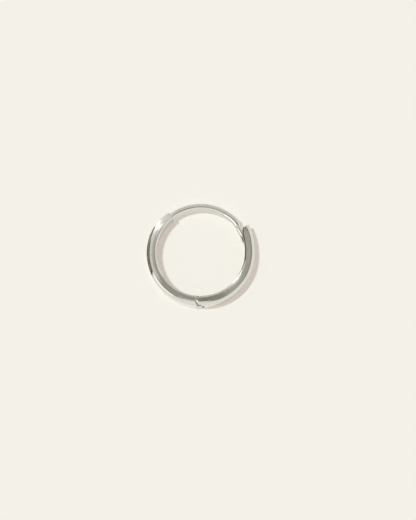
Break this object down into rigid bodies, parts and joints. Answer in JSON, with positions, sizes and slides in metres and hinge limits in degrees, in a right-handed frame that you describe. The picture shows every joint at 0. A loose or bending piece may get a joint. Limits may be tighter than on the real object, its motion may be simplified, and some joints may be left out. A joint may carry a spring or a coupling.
{
  "type": "huggie earring",
  "caption": "Small hinged silver huggie hoop, closed and lying flat: a band of two pinned halves with a thin round ear post that snaps into a slotted catch.",
  "frame": {"origin": "under the middle of the hoop's outline, on the side face that it lies on", "axes": "+Z along the hoop's axis, up; +Y towards the ear post, which crosses the top of the hoop; the hinge is at -Y, and the front half is at -X"},
  "size_m": [0.013, 0.0128, 0.0024],
  "materials": {
    "polished_silver": "mirror polish, faint scratches",
    "pin_silver": "filed flush and polished"
  },
  "bodies": {
    "front": {"front_half": "polished_silver"},
    "back": {"back_half": "polished_silver", "hinge_pin": "pin_silver"}
  },
  "joints": [
    {"name": "hinge", "type": "hinge", "parent": "front", "child": "back", "pos_m": [0, -0.00577, 0.0012], "axis": [0, 0, -1], "range_deg": [0, 70]}
  ]
}
